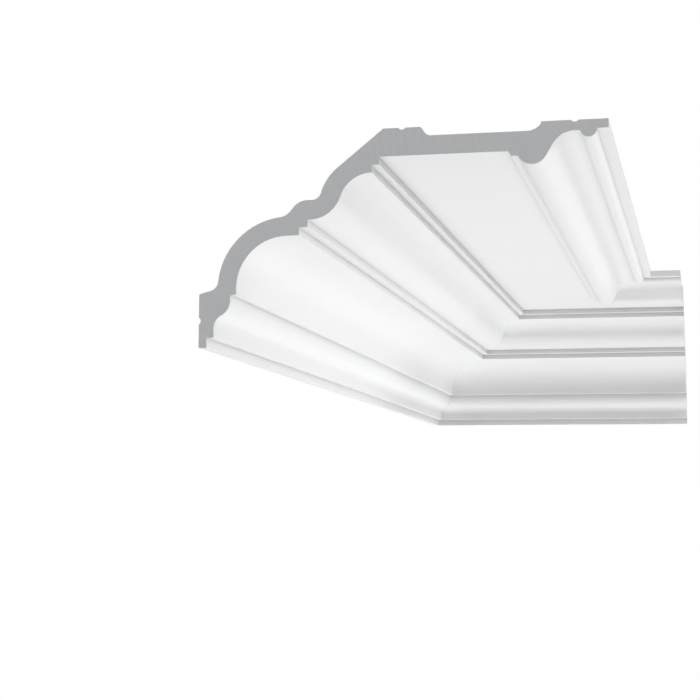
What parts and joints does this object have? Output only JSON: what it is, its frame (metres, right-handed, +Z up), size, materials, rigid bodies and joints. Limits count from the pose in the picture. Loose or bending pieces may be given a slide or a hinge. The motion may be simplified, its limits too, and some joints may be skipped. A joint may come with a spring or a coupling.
{
  "type": "mitred cornice moulding corner",
  "caption": "Mitred inside corner of a ceiling cornice moulding with cove, ogees, stepped fillets and a wide soffit, square cut ends, and glue faces for wall and ceiling.",
  "frame": {"origin": "on the outer glue face of the left length's ceiling side, 11 mm in from its outer edge and in line with the outer edge of the back length; the corner of the room lies on the same level, 267 mm towards -X and 278 mm towards +Y", "axes": "+X along the back wall, away from the left wall; +Y along the left wall, towards the back wall; +Z up, out of the ceiling faces"},
  "size_m": [0.308, 0.96, 0.1465],
  "materials": {
    "primed_foam": "matt white primer over moulded rigid foam, pale grey where sawn"
  },
  "bodies": {
    "root": {"left_length": "primed_foam", "back_length": "primed_foam"}
  },
  "joints": []
}
